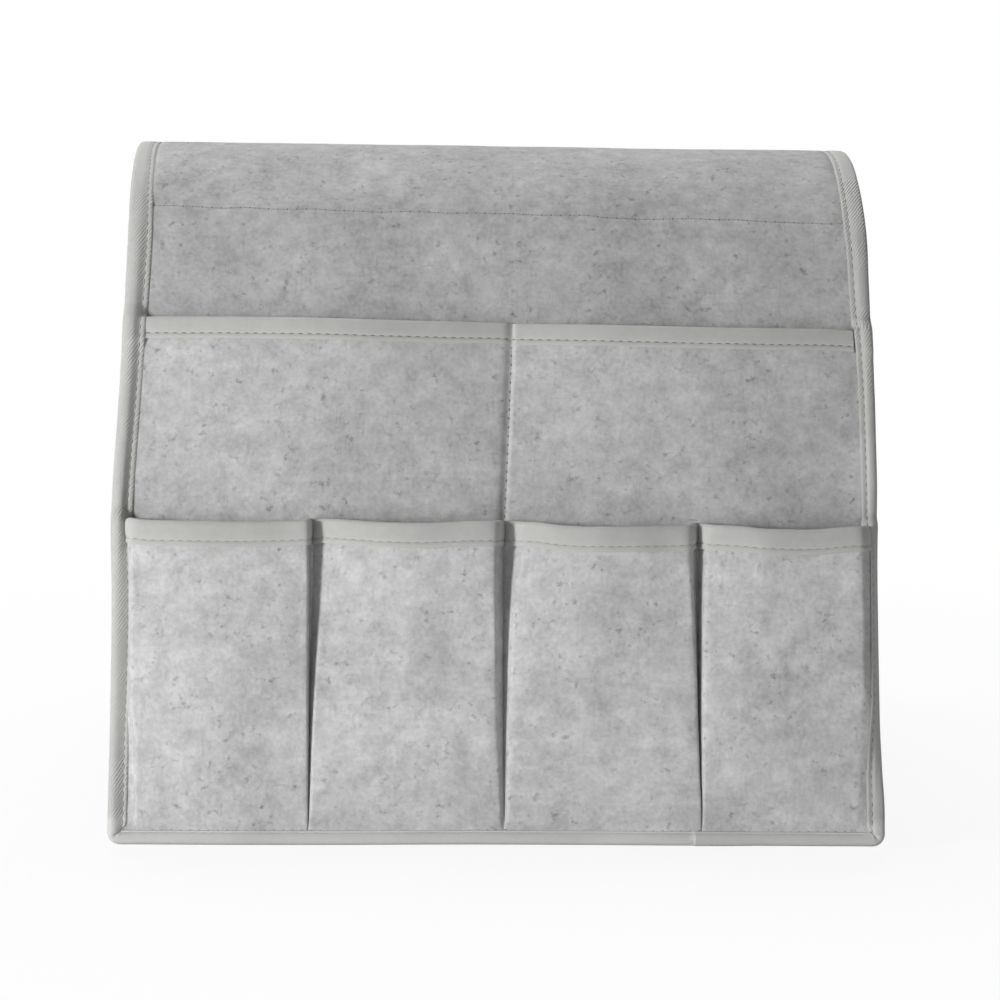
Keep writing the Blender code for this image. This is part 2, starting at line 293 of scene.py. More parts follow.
def sheet_piece(name, outer, inner, uv, material):
    """A closed sheet between two grids of places that match corner for corner."""
    rows, columns = outer.shape[:2]
    count = rows * columns
    points = np.concatenate([outer.reshape(-1, 3), inner.reshape(-1, 3)])
    rim = rim_indices(rows, columns)
    after = np.roll(rim, -1)
    sides = np.stack([rim, count + rim, count + after, after], 1)
    front, back = grid_faces(rows, columns), grid_faces(rows, columns, count, True)
    faces = np.concatenate([front, back, sides]).tolist()
    flat = uv.reshape(-1, 2)
    return make_mesh(name, points, faces, np.concatenate([flat, flat + BACK_UV]), [material])


def tube_faces(rings, size, start=0):
    """Quads of a tube of rings with size points each, whose first point is number start."""
    ring, index = np.meshgrid(np.arange(rings - 1), np.arange(size), indexing="ij")
    here = (start + ring * size + index).ravel()
    after = (start + ring * size + (index + 1) % size).ravel()
    return np.stack([here, after, after + size, here + size], 1).tolist()


def tape_uv(rings):
    """Flat places on a folded tape: how far along it and how far round its section."""
    half = rings.shape[1] // 2
    along = run_of(rings[:, half // 3])
    across = np.array([run_of(ring[:half]) for ring in rings])
    across = np.concatenate([across, across[:, ::-1]], 1)
    return np.stack([np.repeat(along[:, None], 2 * half, 1), across], -1)


def tape_piece(name, rings, material):
    """A closed folded tape of rings of places, joined in a row and capped, and its rings."""
    count, size = rings.shape[:2]
    faces = tube_faces(count, size)
    for start in (0, (count - 1) * size):
        for step in range(size // 2 - 1):
            far = size - 1 - step
            faces.append([start + step, start + step + 1, start + far - 1, start + far])
    uv = tape_uv(rings).reshape(-1, 2)
    return make_mesh(name, rings.reshape(-1, 3), faces, uv, [material]), rings


def rows_with(marks, fine, coarse, start, end):
    """Places from start to end, coarse apart, but fine near each (mark, reach)."""
    places = [start]
    while places[-1] < end - 1e-9:
        here = places[-1]
        near = any(abs(here - mark) < reach for mark, reach in marks)
        ahead = [mark - reach for mark, reach in marks if here < mark - reach < here + coarse]
        step = fine if near else coarse
        if ahead and not near:
            step = max(min(ahead) - here, fine)
        places.append(min(here + step, end))
    if len(places) > 2 and places[-1] - places[-2] < 0.3 * fine:
        places.pop(-2)
    return np.array(places)


# Materials


class Nodes:
    """Short ways to add and join the shader nodes of a material or a world."""

    def __init__(self, owner):
        owner.use_nodes = True
        self.owner = owner
        self.tree = owner.node_tree

    def feed(self, socket, value):
        if hasattr(value, "is_output"):
            self.tree.links.new(value, socket)
        else:
            socket.default_value = value

    def node(self, kind, output, inputs, **settings):
        """The output of a new node whose inputs are fed by name or number."""
        node = self.tree.nodes.new("ShaderNode" + kind)
        for key, value in settings.items():
            setattr(node, key, value)
        for key, value in inputs.items():
            self.feed(node.inputs[key], value)
        return node.outputs[output]

    def math(self, operation, *values):
        return self.node("Math", 0, dict(enumerate(values)), operation=operation)

    def noise(self, vector, scale, detail=2.0, roughness=0.5, distortion=0.0):
        return self.node("TexNoise", "Fac", {
            "Vector": vector, "Scale": scale, "Detail": detail, "Roughness": roughness,
            "Distortion": distortion,
        })

    def stretch(self, vector, scale, turn=0.0, offset=(0.0, 0.0, 0.0)):
        return self.node("Mapping", "Vector", {
            "Vector": vector, "Location": offset, "Rotation": (0.0, 0.0, turn), "Scale": scale,
        })

    def part(self, vector, axis):
        return self.node("SeparateXYZ", axis, {0: vector})

    def ranged(self, value, low, high, to_low=0.0, to_high=1.0):
        inputs = dict(enumerate((value, low, high, to_low, to_high)))
        return self.node("MapRange", "Result", inputs, interpolation_type="SMOOTHSTEP")

    def bump(self, height, distance, strength=1.0, under=None):
        inputs = {"Strength": strength, "Distance": distance, "Height": height}
        if under is not None:
            inputs["Normal"] = under
        return self.node("Bump", "Normal", inputs)

    def tint(self, factor, dark, light):
        """A colour between dark and light, for a factor from 0 to 1 or a little beyond."""
        inputs = {"Factor": factor, "A": (*dark, 1.0), "B": (*light, 1.0)}
        return self.node("Mix", "Result", inputs, data_type="RGBA", clamp_factor=False)

    def shade(self, inputs):
        """Feeds the material's shader, whose output it returns."""
        shader = self.tree.nodes["Principled BSDF"]
        for key, value in inputs.items():
            self.feed(shader.inputs[key], value)
        return shader.outputs[0]


def new_cloth(name):
    """Nodes of a new material, and the places on the flat cloth, in metres."""
    nodes = Nodes(bpy.data.materials.new(name))
    return nodes, nodes.node("UVMap", "UV", {}, uv_map="cloth")


def felt_material(name, shade):
    """Light grey pressed felt: soft mottling, darker wisps of fibre and a matt, fuzzy face. Shade
    scales the whole colour, so below 1 it is painted shade and above 1 painted light.
    """
    nodes, cloth = new_cloth(name)
    clouds = nodes.noise(cloth, 26.0, 2.0, 0.6)
    patches = nodes.noise(cloth, 120.0, 3.0, 0.66)
    grain = nodes.noise(cloth, 480.0, 2.0, 0.6)
    light = nodes.math("MULTIPLY_ADD", clouds, 0.60, -0.43)
    light = nodes.math("MULTIPLY_ADD", patches, 1.10, light)
    light = nodes.math("MULTIPLY_ADD", grain, 0.28, light)
    for turn, seed in ((0.5, 0.0), (2.1, 0.7)):
        strand = nodes.stretch(cloth, (1.0, 0.42, 1.0), turn, (seed, seed, 0.0))
        thread = nodes.noise(strand, 170.0, 1.5, 0.5, 0.7)
        ridge = nodes.math("ABSOLUTE", nodes.math("SUBTRACT", thread, 0.5))
        line = nodes.ranged(ridge, 0.0, 0.07, 1.0, 0.0)
        place = nodes.ranged(nodes.noise(strand, 95.0, 2.0, 0.6), 0.50, 0.66)
        wisp = nodes.math("MULTIPLY", line, place)
        light = nodes.math("MULTIPLY_ADD", wisp, -0.12, light)
    spots = nodes.ranged(nodes.noise(cloth, 270.0, 2.5, 0.6, 0.1), 0.54, 0.78)
    gathered = nodes.ranged(nodes.noise(cloth, 60.0, 2.0, 0.6), 0.38, 0.60)
    light = nodes.math("MULTIPLY_ADD", nodes.math("MULTIPLY", spots, gathered), -0.66, light)
    dark, pale = 0.26 * shade, 0.60 * shade
    lumps = nodes.bump(patches, 0.0006, 0.35)
    nodes.shade({
        "Base Color": nodes.tint(light, (dark, dark, dark), (pale, pale, pale + 0.001)),
        "Roughness": 0.95,
        "Specular IOR Level": 0.15,
        "Sheen Weight": 0.12,
        "Sheen Roughness": 0.6,
        "Normal": nodes.bump(nodes.noise(cloth, 900.0, 4.0, 0.75), 0.00030, 0.4, lumps),
    })
    return nodes.owner


# The twill's ribs: how they turn across the tape, and from one to the next
RIB_TURN = math.radians(58)
RIB_PITCH = 0.00115
PLAIN_FADE = 0.006


def tape_material(name, relief, plain=()):
    """Pale twill tape. Its ribs show with relief, but not from start to end of a plain stretch,
    whose paleness sets its tone there: painted light where that paleness is high.
    """
    nodes, cloth = new_cloth(name)
    run = nodes.part(nodes.stretch(cloth, (1.0, 1.0, 1.0), RIB_TURN), "X")
    run = nodes.math("MULTIPLY_ADD", nodes.noise(cloth, 300.0, 2.0, 0.5), 0.0004, run)
    ribs = nodes.math("SINE", nodes.math("MULTIPLY", run, 2 * math.pi / RIB_PITCH))
    ribs = nodes.math("MULTIPLY_ADD", ribs, 0.5, 0.5)
    worn = nodes.noise(cloth, 60.0, 3.0, 0.6)
    seen = nodes.math("MULTIPLY", ribs, nodes.ranged(worn, 0.35, 0.62, 0.25, 1.0))
    along = nodes.part(cloth, "X")
    for start, end, level in plain:
        begun = nodes.ranged(along, start - PLAIN_FADE, start)
        inside = nodes.math("MULTIPLY", begun, nodes.ranged(along, end, end + PLAIN_FADE, 1.0, 0.0))
        left = nodes.math("MULTIPLY", seen, nodes.math("MULTIPLY_ADD", inside, -0.85, 1.0))
        seen = nodes.math("MULTIPLY_ADD", inside, level, left)
    mottle = nodes.noise(cloth, 240.0, 3.0, 0.6)
    light = nodes.math("MULTIPLY_ADD", mottle, 0.35, 0.25 - 0.15 * relief)
    light = nodes.math("MULTIPLY_ADD", seen, 0.45 * relief, light)
    weave = nodes.bump(seen, 0.00022, 0.9 * relief)
    nodes.shade({
        "Base Color": nodes.tint(light, (0.36, 0.362, 0.348), (0.54, 0.542, 0.527)),
        "Roughness": 0.8,
        "Specular IOR Level": 0.25,
        "Sheen Weight": 0.10,
        "Normal": nodes.bump(nodes.noise(cloth, 1400.0, 2.0, 0.6), 0.00012, 0.5, weave),
    })
    return nodes.owner


def thread_material(name, dark, light):
    """Twisted sewing thread, coloured darker than the cloth it sews: that darkness is painted shade
    of the groove it lies in.
    """
    nodes, cloth = new_cloth(name)
    twist = nodes.noise(nodes.stretch(cloth, (1.0, 4.0, 1.0), 0.6), 1500.0, 2.0, 0.5)
    nodes.shade({
        "Base Color": nodes.tint(twist, dark, light),
        "Roughness": 0.7,
        "Normal": nodes.bump(twist, 0.0001, 0.8),
    })
    return nodes.owner


def lining_material():
    """Thin dark knitted anti-slip cloth."""
    nodes, cloth = new_cloth("grip_cloth")
    warp, weft = (
        nodes.math("SINE", nodes.math("MULTIPLY", nodes.part(cloth, axis), 2 * math.pi / pitch))
        for axis, pitch in (("X", 0.0011), ("Y", 0.0009))
    )
    knit = nodes.math("MULTIPLY_ADD", nodes.math("MULTIPLY", warp, weft), 0.5, 0.5)
    fleck = nodes.math("MULTIPLY", nodes.noise(cloth, 200.0, 3.0, 0.6), 0.5)
    light = nodes.math("MULTIPLY_ADD", knit, 0.5, fleck)
    nodes.shade({
        "Base Color": nodes.tint(light, (0.12, 0.12, 0.125), (0.22, 0.22, 0.23)),
        "Roughness": 0.85,
        "Normal": nodes.bump(knit, 0.0002, 0.8),
    })
    return nodes.owner


def dot_material():
    """Soft rubber of the grip dots."""
    nodes, cloth = new_cloth("grip_dots")
    light = nodes.noise(cloth, 400.0, 2.0, 0.5)
    nodes.shade({
        "Base Color": nodes.tint(light, (0.06, 0.06, 0.065), (0.12, 0.12, 0.125)),
        "Roughness": 0.45,
    })
    return nodes.owner


# The strip's felt is a darker copy of the pocket felt: painted shade over the whole strip
PANEL_FELT_PAINTED_SHADE = felt_material("panel_felt", 0.895)
POCKET_FACE = felt_material("pocket_felt", 1.0)
# The lower pockets' felt is a lighter copy of the same felt: painted light on the lower pockets
LOWER_FELT_PAINTED_LIGHT = felt_material("lower_pocket_felt", 1.09)
TAPE_FACE = tape_material("twill_tape", 0.16)
# Plain stretches of the binding, as (start, end, paleness) along it from the left side's top:
# the left side's top, the hem, the right side's lower part and its top. The hem's high paleness is
# painted light on the same tape
BINDING_PLAIN_AND_PAINTED_LIGHT = (
    (-0.1, 0.095, 0.25), (0.398, 0.730, 1.45), (0.742, 0.900, 0.55), (1.035, 1.3, 0.25),
)
BINDING_FACE = tape_material("twill_binding", 1.0, BINDING_PLAIN_AND_PAINTED_LIGHT)
# The threads are real, but their grey, darker than the cloth they sew, is painted shade of the
# stitch grooves
TAPE_THREAD_PAINTED_SHADE = thread_material("tape_thread_painted_shade", (0.13, 0.132, 0.127), (0.23, 0.232, 0.226))
BINDING_THREAD_PAINTED_SHADE = thread_material("binding_thread_painted_shade", (0.20, 0.202, 0.195), (0.36, 0.363, 0.354))
GREY_THREAD_PAINTED_SHADE = thread_material("grey_thread_painted_shade", (0.20, 0.20, 0.20), (0.36, 0.36, 0.36))
NEEDLE_HOLE_PAINTED_SHADE = thread_material("needle_hole_painted_shade", (0.06, 0.06, 0.06), (0.14, 0.14, 0.14))


# The felt strip, in a front and a back half that meet in the middle of the armrest's top


def felt_half(s):
    """Half width of a felt layer at s, with its hem corners rounded inside the binding."""
    radius = CORNER_RADIUS - FELT_EDGE
    below = np.clip(FELT_EDGE + radius - np.asarray(s, float), 0.0, radius)
    return HALF - FELT_EDGE - (radius - np.sqrt(radius ** 2 - below ** 2))


def crease_groove(s):
    """The stitches of the crease pull the felt in along a narrow line."""
    off = (s - CREASE_S) / MM
    return -MM * (0.34 * np.exp(-((off / 0.9) ** 2)) + 0.25 * np.exp(-((off / 3.0) ** 2)))


# The first row of every felt, just off the binding's fold
START_S = FELT_EDGE + 1e-5


def pressed(s):
    """How far the felt's edge is pressed down under its binding on the armrest's top."""
    return -0.7 * MM * ease(s, 0.272, 0.305)


# Columns of the strip's mesh across its width
FELT_COLUMNS = 133


def strip_half(name, front):
    """The felt from one hem to the middle of the armrest's top."""
    rows = rows_with([(CREASE_S, 0.004)], 0.0004, 0.0026, START_S, TOP_S)
    columns = np.linspace(-1.0, 1.0, FELT_COLUMNS)
    s = np.repeat(rows[:, None], len(columns), 1)
    x = columns[None, :] * felt_half(s)
    flange = SIDE_FLANGE + 0 * x
    if front:
        flange = np.where(x < 0, FRONT_FLANGE[-1](s), FRONT_FLANGE[1](s))
    under = ease(np.abs(x) - (HALF - MM * flange), -0.0014, 0.0008)
    top = crease_groove(s) + 1.15 * pressed(s) * under
    run = crease_line(x, s)
    along = run if front else STRIP_LENGTH - run
    outer = drape(x, along, top)
    inner = drape(x, along, -FELT)
    return sheet_piece(name, outer, inner, np.stack([x, along], -1), PANEL_FELT_PAINTED_SHADE)


def blended(piece, front):
    """Bakes the piece's place into its mesh. The ends of its bend over the crease are worked out,
    but nothing bends it.
    """
    ends = [CREASE_S + BEND_REACH, CREASE_S - BEND_REACH]
    if not front:
        ends = [STRIP_LENGTH - s for s in ends]
    start, end = (tuple(drape(0.0, s, 0.0)) for s in ends)
    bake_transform(piece)


# Pocket felts


def base_height(s, mouth):
    """Room under a pocket felt, which widens near its mouth for the tape's inner flange."""
    return GAP + (TAPE + GAP) * ease(s, mouth - 0.028, mouth - 0.013)


def upper_foot(s):
    return base_height(s, UPPER_MOUTH_S) + POCKET_FELT


def lower_foot(s):
    return upper_foot(s) + base_height(s, LOWER_MOUTH_S) + POCKET_FELT


def seam_x(s):
    """The middle seam of the upper pockets leans a little to the right as it climbs."""
    return 0.0028 + 0.0028 * np.clip((s - LOWER_MOUTH_S) / (UPPER_MOUTH_S - LOWER_MOUTH_S), 0, 1)


UPPER_SWELL = spline(
    (0.0, 0.0), (0.060, 0.30), (0.110, 0.62), (0.150, 0.95), (0.185, 1.0), (0.2264, 1.0),
)
UPPER_SOFT = waves(15, 0.050)
# x at which the upper pockets' swell ends, under the binding
UPPER_LEFT, UPPER_RIGHT = -0.157, 0.158


def upper_height(x, s):
    """Outer face of the upper pocket felt: two shallow swells and the seam between them."""
    seam = seam_x(s)
    left = np.clip((x - UPPER_LEFT) / (seam - UPPER_LEFT), 0, 1)
    right = np.clip((UPPER_RIGHT - x) / (UPPER_RIGHT - seam), 0, 1)
    swell = np.where(x < seam, 6.4 * np.sin(math.pi * left), 5.2 * np.sin(math.pi * right))
    off = (x - seam) / MM
    dip = 1.25 * np.where(off < 0, np.exp(-((off / 2.4) ** 2)), np.exp(-((off / 0.95) ** 2)))
    loose = np.clip(1 - np.abs(x) / UPPER_RIGHT, 0, 1) ** 0.5 * ease(s, 0.15, 0.20)
    height = swell * UPPER_SWELL(s) - dip + 0.30 * loose * UPPER_SOFT(x, s)
    return upper_foot(s) + MM * height


# s of the upper mouth across the strip, in mm: it sags a little between the seam and the binding
UPPER_MOUTH = spline(
    (-158.5, 226.6), (-140, 226.4), (-110, 225.95), (-80, 225.35), (-60, 225.05), (-40, 225.4),
    (-20, 225.8), (-3, 226.4), (2.8, 226.5), (10, 226.1), (25, 225.5), (40, 224.95), (55, 224.6),
    (80, 224.3), (100, 224.35), (115, 224.55), (130, 225.0), (148, 225.6), (158.5, 225.4),
)


def upper_mouth(x):
    return MM * UPPER_MOUTH(x / MM)


# Columns of the upper felt on each side of its seam and close to it, and how far from the seam
# the close ones reach, as a share of the half width
SIDE_COLUMNS, SEAM_COLUMNS = 60, 25
SEAM_REACH, SIDE_REACH = 0.026, 0.030


def upper_columns():
    """Columns of the upper felt, as shares of its half width: close together at the seam."""
    seam = seam_x(UPPER_MOUTH_S) / HALF
    left = np.linspace(-1.0, seam - SIDE_REACH, SIDE_COLUMNS)
    right = np.linspace(seam + SIDE_REACH, 1.0, SIDE_COLUMNS)
    middle = seam + np.linspace(-SEAM_REACH, SEAM_REACH, SEAM_COLUMNS)
    return np.concatenate([left, middle, right])


def upper_place(column, s):
    """x of a column of the upper felt: the columns near the middle follow the seam."""
    top = seam_x(UPPER_MOUTH_S)
    near = np.exp(-(((column * HALF - top) / 0.03) ** 2))
    return column * felt_half(s) + (seam_x(s) - top) * near


def upper_pocket():
    marks = rows_with([(UPPER_MOUTH_S, 0.014)], 0.0014, 0.0034, START_S, UPPER_MOUTH_S)
    columns = upper_columns()
    part = marks[:, None] / UPPER_MOUTH_S
    x = upper_place(columns[None, :], marks[:, None] + 0 * columns)
    s = part * upper_mouth(x)
    top = upper_height(x, s)
    inner = np.maximum(top - POCKET_FELT, upper_foot(s) - POCKET_FELT)
    inner = np.minimum(top - 0.6 * POCKET_FELT, inner)
    uv = np.stack([x + UPPER_UV[0], s + UPPER_UV[1]], -1)
    return sheet_piece("upper_pocket", drape(x, s, top), drape(x, s, inner), uv, POCKET_FACE)


# Edge binding on the left (-1) and the right (1): its width over the front of the strip in mm, how
# far its front turns up towards the lower pockets, whose gathered sides push it open, in degrees,
# and how much its front swells

FRONT_FLANGE = {
    -1: spline(
        (0.0, 7.6), (0.018, 7.7), (0.043, 7.6), (0.069, 8.0), (0.102, 8.3), (0.139, 8.5),
        (0.163, 8.7), (0.231, 9.6), (0.262, 10.2), (0.300, 9.4), (0.340, 8.5), (0.380, 9.6),
    ),
    1: spline(
        (0.0, 7.6), (0.020, 7.8), (0.050, 8.2), (0.120, 8.3), (0.136, 7.4), (0.146, 6.7),
        (0.200, 7.0), (0.226, 8.0), (0.240, 8.5), (0.258, 9.0), (0.278, 9.6), (0.309, 9.3),
        (0.380, 9.6),
    ),
}
BINDING_TILT = {
    -1: spline((0.0, 2.0), (0.060, 2.0), (0.120, 6.0), (0.146, 2.0), (0.160, 0.0), (0.300, 0.0)),
    1: spline(
        (0.0, 4.0), (0.020, 12.0), (0.042, 38.0), (0.062, 58.0), (0.122, 60.0), (0.134, 38.0),
        (0.146, 8.0), (0.160, 0.0), (0.300, 0.0),
    ),
}
BINDING_DOME = {
    -1: spline(
        (0.0, 1.1), (0.015, 1.4), (0.100, 1.4), (0.130, 1.9), (0.160, 1.5), (0.245, 1.3),
        (0.285, 0.3), (0.310, 0.0),
    ),
    1: spline(
        (0.0, 0.3), (0.030, 0.2), (0.060, 0.5), (0.120, 0.5), (0.146, 0.7), (0.170, 0.8),
        (0.245, 0.8), (0.285, 0.25), (0.310, 0.0),
    ),
}
BACK_FLANGE = 9.0
SIDE_FLANGE = 9.6
HEM_FLANGE = 5.4
BACK_HEM_FLANGE = 9.4
# Thickness of the tapes' cloth, in mm
TAPE_SKIN = 0.40


def lower_layers(s):
    """Height of the lower felt's layers under the binding, which end just above their mouth."""
    end = ease(s, LOWER_MOUTH_S + 0.0025, LOWER_MOUTH_S + 0.0085)
    return (lower_foot(s) - upper_foot(s)) * (1 - end)


def upper_layers(s):
    """Height of the upper felt's layers under the binding, which end just above their mouth."""
    return upper_foot(s) * (1 - ease(s, UPPER_MOUTH_S + 0.0015, UPPER_MOUTH_S + 0.0075))


def layers_top(s, front):
    """Top of the layers that the binding goes round."""
    if not front:
        return pressed(s)
    tape_end = ease(s, UPPER_MOUTH_S - 0.0125, UPPER_MOUTH_S - 0.0095)
    tape_end = 1.3 * MM * tape_end * (1 - ease(s, UPPER_MOUTH_S, UPPER_MOUTH_S + 0.003))
    return upper_layers(s) + lower_layers(s) + tape_end + pressed(s)


def softened(points, parts):
    """A smooth line through the points, with each stretch cut into its number of parts."""
    points = np.array(points, float)
    run = run_of(points)
    places = [run[0]]
    for k, count in enumerate(parts):
        places += list(run[k] + (run[k + 1] - run[k]) * np.arange(1, count + 1) / count)
    return np.stack([spline(*zip(run, column))(places) for column in points.T], 1)


def folded_section(skin):
    """A closed section of a tape from its inner skin: the skin, then its outer side back again."""
    along = unit(np.gradient(skin, axis=0))
    outward = np.stack([along[:, 1], -along[:, 0]], 1)
    return np.concatenate([skin, (skin + outward * TAPE_SKIN)[::-1]])


BINDING_PARTS = (1, 1, 1, 1, 1, 1, 2, 2, 1, 2, 2, 1, 1, 2, 2)
STITCH_POINT = 4


def binding_section(flange, top, tilt, dome, inset=2.0, crest=0.45, drop=0.0):
    """Section of the edge tape as (depth in from the fold, height), with its stitches at inset.

    The tape's inner edge reaches down by drop, to felt that lies lower than the tape does.
    """
    w = flange
    t = top / MM
    low = -FELT / MM
    k = inset / 2.0
    c = crest * w
    skin = [
        (w, 0.04 - drop), (w - 0.35 * k, 0.28 - 0.90 * drop), (w - 1.1 * k, 0.20 - 0.62 * drop),
        (w - 1.6 * k, 0.10 - 0.42 * drop), (w - 2.0 * k, 0.03 - 0.28 * drop),
        (w - 2.5 * k, 0.18 - 0.12 * drop), ((w - 2.5 * k + c) / 2, 0.44 + 0.55 * dome),
        (c, 0.45 + 0.95 * dome), (0.5 * c, 0.40 + 0.75 * dome), (0.22 * c, 0.35 + 0.25 * dome),
    ]
    sine, cosine = math.sin(math.radians(tilt)), math.cos(math.radians(tilt))
    front = [
        (depth * cosine - height * sine * 0.5, t + depth * sine + height) for depth, height in skin
    ]
    fold = (t + low) / 2
    reach = 0.30 * (t - low + 0.8)
    back = [
        (0.10, fold + reach), (0.0, fold), (0.10, fold - reach),
        (0.8, low - 0.50), (2.2, low - 0.62), (BACK_FLANGE, low - 0.55),
    ]
    return MM * folded_section(softened(front + back, BINDING_PARTS))


def side_section(side, s, front):
    """Section of the edge tape at s on one side, which is plainer on the back of the strip."""
    top = float(layers_top(s, front))
    if not front:
        return binding_section(SIDE_FLANGE, top, 0.0, min(float(BINDING_DOME[1](s)), 0.9))
    shape = (float(curve[side](s)) for curve in (FRONT_FLANGE, BINDING_TILT, BINDING_DOME))
    flange, tilt, dome = shape
    low = 1 - float(ease(s, 0.100, 0.135)) if side < 0 else 0.0
    drop = float(lower_layers(s) * ease(s, LOWER_MOUTH_S + 0.0014, LOWER_MOUTH_S + 0.0028)) / MM
    drop += float(upper_layers(s) * ease(s, UPPER_MOUTH_S + 0.0004, UPPER_MOUTH_S + 0.0018)) / MM
    return binding_section(flange, top, tilt, dome, 2.0 - 0.6 * low, 0.45 - 0.12 * low, drop)


def under_binding(side, s):
    """Where a pocket's outermost side comes out from under the binding, in plan."""
    flange = MM * (float(FRONT_FLANGE[side](s)) - 1.3)
    turn = math.radians(float(BINDING_TILT[side](s)))
    x = side * (HALF - flange * math.cos(turn))
    return x, float(layers_top(s, True)) + flange * math.sin(turn)


# Lower pockets: x of the folds on both sides of each, and the height in mm that each fold stands
# off the panel, as functions of s

FOLD_LEFT = (
    spline(
        (0.0, -0.1530), (0.018, -0.1536), (0.043, -0.1541), (0.064, -0.1558), (0.101, -0.1561),
        (0.136, -0.1556),
    ),
    *splines(
        (0.0, 0.030, 0.070, 0.110, 0.129, 0.138),
        (-0.0800, -0.0794, -0.0780, -0.0758, -0.0742, -0.0752),
        (0.0036, 0.0040, 0.0052, 0.0080, 0.0117, 0.0106),
        (0.0868, 0.0870, 0.0874, 0.0884, 0.0892, 0.0886),
    ),
)
FOLD_RIGHT = (
    *splines(
        (0.0, 0.030, 0.070, 0.110, 0.136),
        (-0.0808, -0.0808, -0.0812, -0.0810, -0.0806),
        (0.0012, 0.0002, -0.0012, -0.0016, -0.0012),
        (0.0864, 0.0858, 0.0846, 0.0828, 0.0818),
    ),
    spline(
        (0.0, 0.1528), (0.016, 0.1532), (0.037, 0.1550), (0.062, 0.1568), (0.121, 0.1567),
        (0.136, 0.1560),
    ),
)
RISE = spline(
    (0.0, 0.0), (0.0055, 0.0), (0.0088, 1.6), (0.018, 2.9), (0.040, 5.6), (0.070, 8.6),
    (0.100, 11.0), (0.136, 13.0),
)
# Across each pocket the felt climbs from its left fold to a soft ridge, which lies this share of
# the way across, and falls slowly to its right fold. CLIMB is the slope at the left, FALL at the
# right
RIDGE = (0.51, 0.57, 0.47, 0.36)
CLIMB = (
    spline((0.0, 0.0), (0.030, 0.03), (0.060, 0.06), (0.100, 0.10), (0.138, 0.16)),
    *splines(
        (0.0, 0.020, 0.040, 0.060, 0.080, 0.100, 0.130, 0.138),
        (0.0, 0.03, 0.08, 0.15, 0.22, 0.31, 0.38, 0.38),
        (0.0, 0.03, 0.08, 0.17, 0.24, 0.31, 0.38, 0.38),
        (0.0, 0.02, 0.05, 0.10, 0.16, 0.22, 0.28, 0.28),
    ),
)
FALL = splines(
    (0.0, 0.020, 0.060, 0.100, 0.138),
    (0.0, 0.01, 0.04, 0.05, 0.06),
    (0.0, 0.02, 0.05, 0.07, 0.08),
    (0.0, 0.02, 0.08, 0.11, 0.11),
    (0.0, 0.02, 0.07, 0.07, 0.07),
)
# How softly the felt turns over its left and right folds, in mm
LEFT_SOFTNESS = spline(
    (0.0, 0.8), (0.040, 1.1), (0.100, 1.0), (0.122, 1.2), (0.130, 2.2), (0.138, 3.4),
)
RIGHT_SOFTNESS = spline(
    (0.0, 0.4), (0.040, 0.8), (0.100, 1.0), (0.118, 1.2), (0.130, 2.2), (0.136, 2.6),
)
DENTS = (
    # x, s, reach across, reach along, depth, all in mm
    (-12, 24, 5, 20, 0.9),
    (-20, 40, 4, 14, -0.5),
    (24, 88, 9, 22, 0.8),
    (38, 60, 12, 16, -0.5),
    (140, 22, 10, 12, 0.8),
    (128, 40, 12, 16, -0.5),
    (-120, 30, 14, 16, 0.6),
    (-135, 70, 10, 22, -0.4),
    (-50, 60, 12, 20, -0.4),
    (70, 30, 10, 14, 0.5),
)
LOWER_SOFT = waves(31, 0.030)
LOWER_FINE = waves(33, 0.012)
# Columns of the mesh up each side of a pocket, across its face and in all, and places across the
# face and along the plan while it is shaped
GUSSET_STEPS = 12
FACE_STEPS = 56
POCKET_STEPS = 2 * GUSSET_STEPS + FACE_STEPS
FACE_PLACES = 61
DENSE = 420


def smoothed(values, width):
    """A row of points softened over a number of steps, with both ends kept."""
    reach = int(3 * width) + 1
    kernel = np.exp(-0.5 * (np.arange(-reach, reach + 1) / width) ** 2)
    kernel /= kernel.sum()
    before = 2 * values[0] - values[reach:0:-1]
    after = 2 * values[-1] - values[-2:-reach - 2:-1]
    return np.convolve(np.concatenate([before, values, after]), kernel, "valid")


